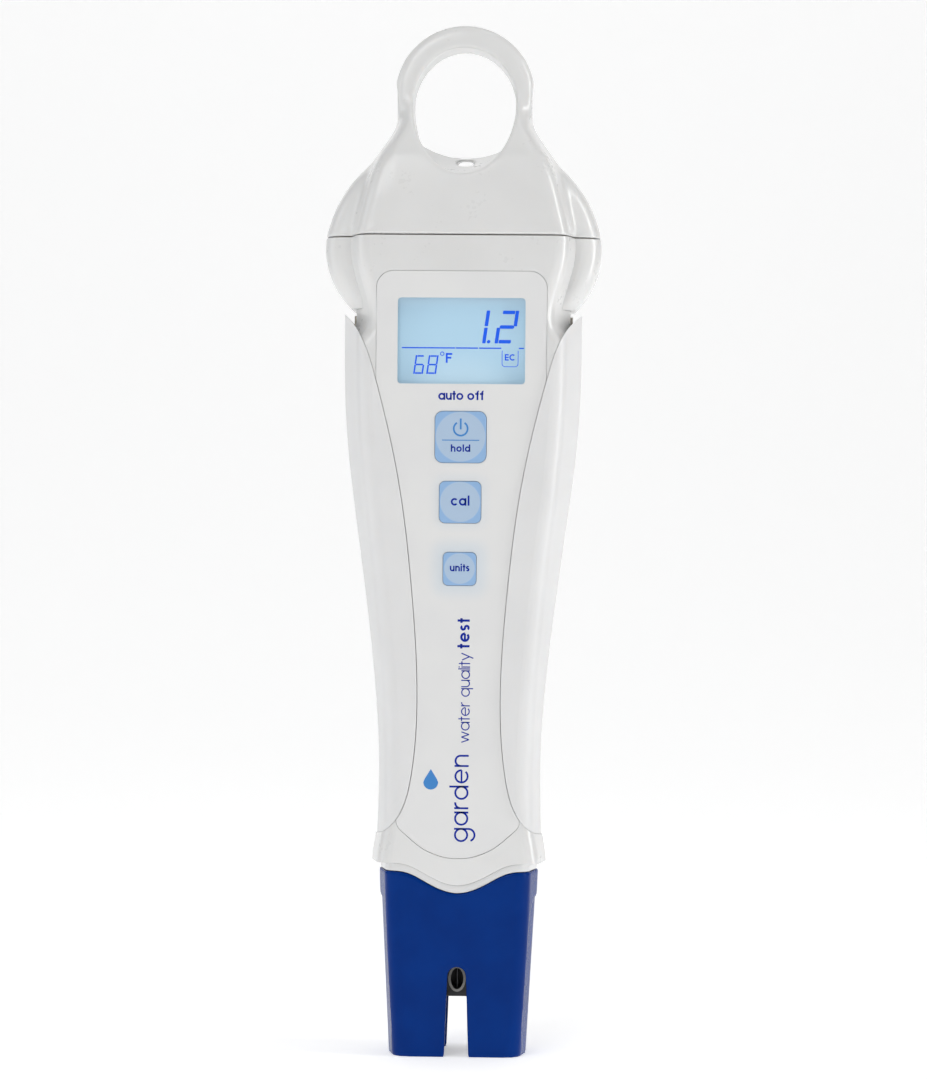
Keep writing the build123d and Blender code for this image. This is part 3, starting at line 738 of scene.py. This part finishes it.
FILM = ("body", "front_film")
POWER = ("power", "key_blue")
CAL = ("cal", "key_blue")
UNITS = ("units", "key_blue")
power_z, cal_z, units_z = (key_place(key)[0] for key in ("power_key", "cal_key", "units_key"))
AUTO_OFF_Z = 124.25 * MM
HOLD_DROP = 2.32 * MM                     # the word's middle is this much below the key's
lettering("auto_off_print", "auto off", 1.31 * MM, 0.33 * MM, 8.5 * MM, (0.0, AUTO_OFF_Z),
          PRINT_LIFT, navy_ink, *FILM)
lettering("hold_print", "hold", 1.02 * MM, 0.27 * MM, 3.65 * MM, (0.0, power_z - HOLD_DROP),
          KEY_LIFT, navy_ink, *POWER)
lettering("cal_print", "cal", 1.4 * MM, 0.34 * MM, 3.5 * MM, (0.0, cal_z), KEY_LIFT, navy_ink, *CAL)
lettering("units_print", "units", 1.02 * MM, 0.27 * MM, 3.65 * MM, (0.0, units_z),
          KEY_LIFT, navy_ink, *UNITS)
power_icon = [
    arc((0.0, 1.5 * MM), 1.3 * MM, 0.33 * MM, 123, 417),
    stroke((0.0, 1.35 * MM), (0.0, 3.4 * MM), 0.33 * MM, 0.08 * MM),
    stroke((-3.5 * MM, -0.66 * MM), (3.5 * MM, -0.66 * MM), 0.17 * MM),
]
mark("power_icon", power_icon, (0.0, power_z), KEY_LIFT, sky_ink, *POWER)

TITLES = [
    ("large_title", "garden", 2.65 * MM, 0.36 * MM, 16.4 * MM, (0.67 * MM, 48.9 * MM)),
    ("small_title", "water quality", 1.64 * MM, 0.21 * MM, 16.9 * MM, (1.3 * MM, 67.8 * MM)),
    ("bold_title", "test", 1.77 * MM, 0.43 * MM, 5.7 * MM, (1.1 * MM, 79.9 * MM)),
]
for name, words, x_height, weight, length, place in TITLES:
    lettering(name, words, x_height, weight, length, place, PRINT_LIFT, navy_ink, *FILM, turn=UPRIGHT)

DROP_RADIUS = 1.4 * MM
drop = dot((0.0, 0.0), DROP_RADIUS)
for vertex in drop.data.vertices:
    if vertex.co.y > 0:
        vertex.co.x *= 1 - 0.82 * (vertex.co.y / DROP_RADIUS) ** 1.2
        vertex.co.y *= 1.75
mark("drop_icon", [drop], (-5.1 * MM, 51.9 * MM), PRINT_LIFT, sky_ink, *FILM)


# ---- room, light and camera ----------------------------------------------------------------------
FLOOR_SIZE = 2.4
WALL_HEIGHT = 2.0
WALL_CURVE = 0.6                          # radius between floor and wall
FLOOR_BACK = 1.0                          # the floor's rear edge lies behind this depth
FLOOR_LEVEL = 0.1                         # the floor's own edges lie below this height


def backdrop():
    """Pale floor that curves up into a wall behind the pen."""
    deselect()
    bpy.ops.mesh.primitive_plane_add(size=FLOOR_SIZE, location=(0, 0, 0))
    floor = bpy.context.object
    floor.name = "pale_floor"
    bpy.ops.object.mode_set(mode="EDIT")
    bpy.ops.mesh.select_mode(type="EDGE")
    bpy.ops.mesh.select_all(action="DESELECT")
    bpy.ops.object.mode_set(mode="OBJECT")
    for edge in floor.data.edges:
        edge.select = all(floor.data.vertices[v].co.y > FLOOR_BACK for v in edge.vertices)
    bpy.ops.object.mode_set(mode="EDIT")
    bpy.ops.mesh.extrude_region_move(TRANSFORM_OT_translate={"value": (0, 0, WALL_HEIGHT)})
    bpy.ops.object.mode_set(mode="OBJECT")
    for edge in floor.data.edges:
        ends = [floor.data.vertices[v].co for v in edge.vertices]
        edge.select = all(end.y > FLOOR_BACK and end.z < FLOOR_LEVEL for end in ends)
    bpy.ops.object.mode_set(mode="EDIT")
    bpy.ops.mesh.bevel(offset=WALL_CURVE, segments=16)
    bpy.ops.object.mode_set(mode="OBJECT")
    bpy.ops.object.shade_smooth()
    g = Graph("pale_paper")
    paper = g.blend(g.noise(0.2, 2.0), (0.93, 0.93, 0.93, 1.0), (0.91, 0.91, 0.91, 1.0))
    floor.data.materials.append(g.finish({
        "Base Color": paper, "Roughness": 0.9,
        "Emission Color": (1.0, 1.0, 1.0, 1.0), "Emission Strength": 0.42,
    }))


def soft_light(name, place, aim, size, power, colour=(1, 1, 1)):
    """Rectangular soft box aimed at a point."""
    bpy.ops.object.light_add(type="AREA", location=place)
    lamp = bpy.context.object
    lamp.name = name
    lamp.data.shape = "RECTANGLE"
    lamp.data.size, lamp.data.size_y = size
    lamp.data.energy = power
    lamp.data.color = colour
    lamp.rotation_euler = (Vector(aim) - Vector(place)).to_track_quat("-Z", "Y").to_euler()


PEN_MIDDLE = (0.0, 0.0, 0.0974)
backdrop()
soft_light("front_box", (-0.45, -1.0, 0.8), PEN_MIDDLE, (0.8, 0.8), 4.9)
soft_light("left_box", (-0.8, -0.1, 0.15), PEN_MIDDLE, (0.35, 0.9), 0.9, (0.90, 0.95, 1.0))
soft_light("right_box", (0.6, -0.12, 0.15), PEN_MIDDLE, (0.14, 0.8), 2.1)
soft_light("top_box", (0.0, -0.1, 1.1), PEN_MIDDLE, (0.9, 0.9), 2.2)

ROOM_FILL = 0.22                          # light that the room sends from all round
world = bpy.data.worlds.new("studio")
bpy.context.scene.world = world
world.use_nodes = True
room = world.node_tree
looked_at = room.nodes.new("ShaderNodeLightPath").outputs["Is Camera Ray"]
level = room.nodes.new("ShaderNodeMapRange")
level.inputs["To Min"].default_value = ROOM_FILL
level.inputs["To Max"].default_value = 1.0
room.links.new(looked_at, level.inputs["Value"])
room.nodes["Background"].inputs["Color"].default_value = (1.0, 1.0, 1.0, 1.0)
room.links.new(level.outputs["Result"], room.nodes["Background"].inputs["Strength"])

CAMERA_DISTANCE = 0.650
CAMERA_TURN = math.radians(1.7)
CAMERA_ROLL = math.radians(0.5)
SENSOR = 36.0                             # millimetres
PICTURE_HEIGHT = 0.2058                   # how much the picture takes in, top to bottom, at the pen
bpy.ops.object.camera_add()
camera = bpy.context.object
camera.data.sensor_width = SENSOR
camera.data.lens = SENSOR * CAMERA_DISTANCE / PICTURE_HEIGHT
camera.data.clip_start = 0.01
camera.data.clip_end = 20.0
aim = Vector((0.00036, 0.0, PEN_MIDDLE[2]))
back = Vector((math.sin(CAMERA_TURN), -math.cos(CAMERA_TURN), 0.0))
camera.matrix_world = (
    Matrix.Translation(aim + back * CAMERA_DISTANCE)
    @ (-back).to_track_quat("-Z", "Y").to_matrix().to_4x4()
    @ Matrix.Rotation(CAMERA_ROLL, 4, "Z")
)
bpy.context.scene.camera = camera
bpy.context.scene.view_settings.view_transform = "Standard"
